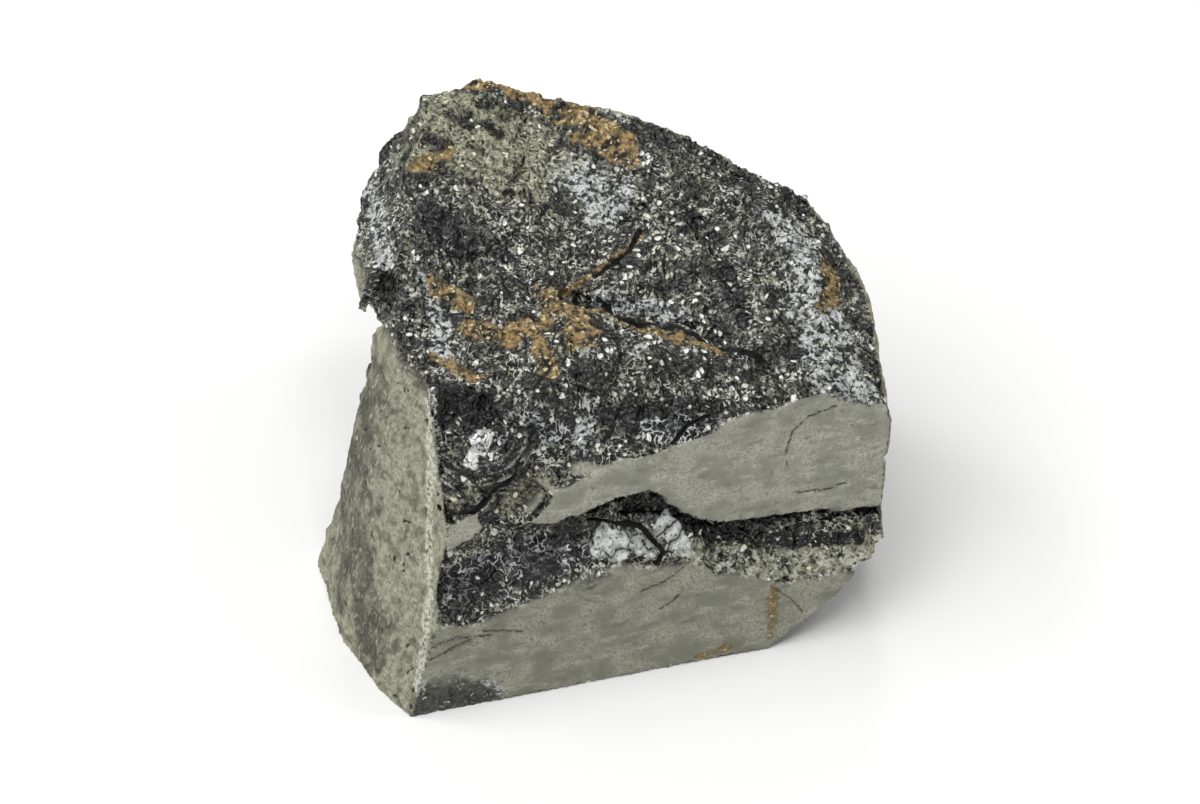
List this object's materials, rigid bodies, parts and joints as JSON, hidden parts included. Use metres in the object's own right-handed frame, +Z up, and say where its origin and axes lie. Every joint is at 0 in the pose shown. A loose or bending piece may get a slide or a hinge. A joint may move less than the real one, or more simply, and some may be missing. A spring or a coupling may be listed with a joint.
{
  "type": "coal lump",
  "caption": "Single lump of hard coal with two smooth broken bands, a rough ledge between them and a crystalline top, lying on a flat bedding face.",
  "frame": {"origin": "on the surface the lump lies on, under the middle of its bounding box", "axes": "+Z up; -Y towards the viewer of the picture, who sees the two smooth bands; +X to the viewer's right"},
  "size_m": [0.0776, 0.075, 0.0518],
  "materials": {
    "coal": "broken, dull grey bands and glinting black crystalline breaks"
  },
  "bodies": {
    "root": {"coal_lump": "coal"}
  },
  "joints": []
}
